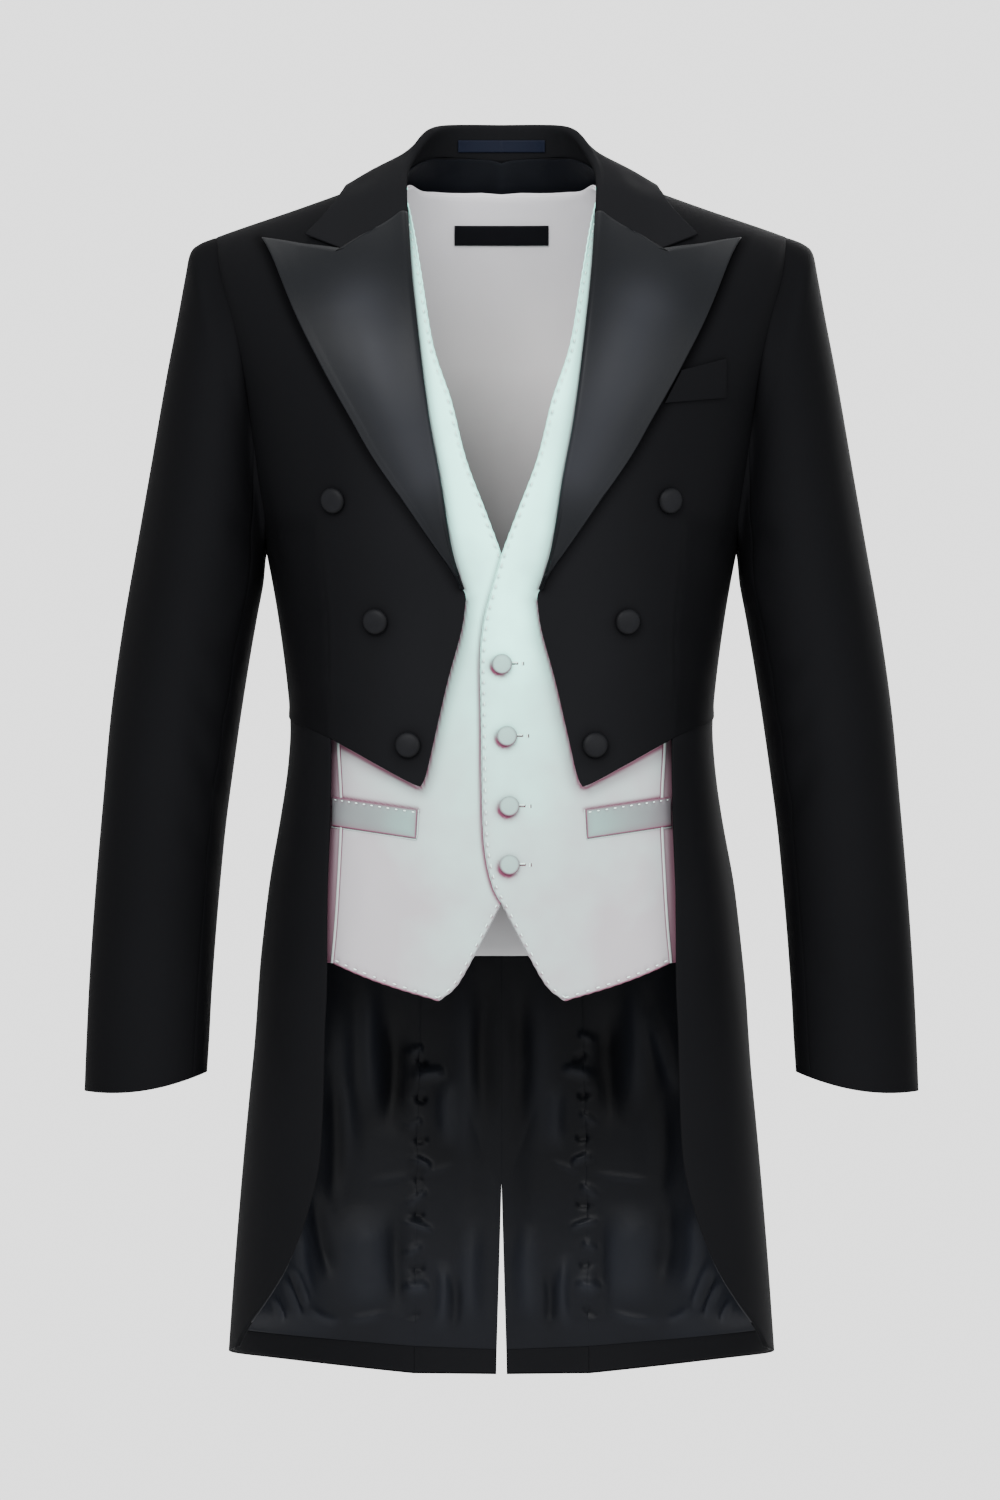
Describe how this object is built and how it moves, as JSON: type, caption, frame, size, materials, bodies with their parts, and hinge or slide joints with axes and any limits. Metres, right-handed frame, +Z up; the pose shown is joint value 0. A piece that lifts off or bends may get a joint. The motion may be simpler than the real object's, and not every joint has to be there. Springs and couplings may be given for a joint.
{
  "type": "evening tailcoat and waistcoat",
  "caption": "Hollow worn form of an evening tailcoat with satin peak lapels, cutaway front and vented tails, open over a pale buttoned waistcoat.",
  "frame": {"origin": "where the wearer holds the coat up: centre line, mid depth, level with the sides of the neck at the shoulders", "axes": "+Z up, the front towards -Y, the wearer's left towards +X"},
  "size_m": [0.6208, 0.2622, 0.9372],
  "materials": {
    "wool": "matt black wool",
    "satin": "dark grey satin",
    "covered_button": "cloth-covered buttons, charcoal",
    "black_lining": "glossy black lining",
    "pale_cloth": "smooth pale mint-white cloth",
    "pale_lining": "pale grey lining",
    "navy_label": "bare navy label",
    "black_label": "bare black label"
  },
  "bodies": {
    "root": {"coat_front_l": "wool", "coat_front_r": "wool", "coat_side_l": "wool", "coat_side_r": "wool", "coat_back_l": "wool", "coat_back_r": "wool", "coat_tail_l": "wool", "coat_tail_r": "wool", "top_sleeve_l": "wool", "top_sleeve_r": "wool", "under_sleeve_l": "wool", "under_sleeve_r": "wool", "coat_collar": "wool", "coat_lapel_l": "satin", "coat_lapel_r": "satin", "coat_breast_welt": "wool", "coat_button_l1": "covered_button", "coat_button_l2": "covered_button", "coat_button_l3": "covered_button", "coat_button_r1": "covered_button", "coat_button_r2": "covered_button", "coat_button_r3": "covered_button", "coat_label": "navy_label", "back_neck_lining": "black_lining", "back_lining_l": "black_lining", "back_lining_r": "black_lining", "tail_lining_l": "black_lining", "tail_lining_r": "black_lining", "back_hem_l": "wool", "back_hem_r": "wool", "tail_hem_l": "wool", "tail_hem_r": "wool", "waistcoat_front_l": "pale_cloth", "waistcoat_front_r": "pale_cloth", "waistcoat_side_l": "pale_cloth", "waistcoat_side_r": "pale_cloth", "waistcoat_back": "pale_lining", "waistcoat_back_lining": "pale_lining", "waistcoat_button_1": "pale_cloth", "waistcoat_button_2": "pale_cloth", "waistcoat_button_3": "pale_cloth", "waistcoat_button_4": "pale_cloth", "waistcoat_welt_l": "pale_cloth", "waistcoat_welt_r": "pale_cloth", "waistcoat_label": "black_label"}
  },
  "joints": []
}
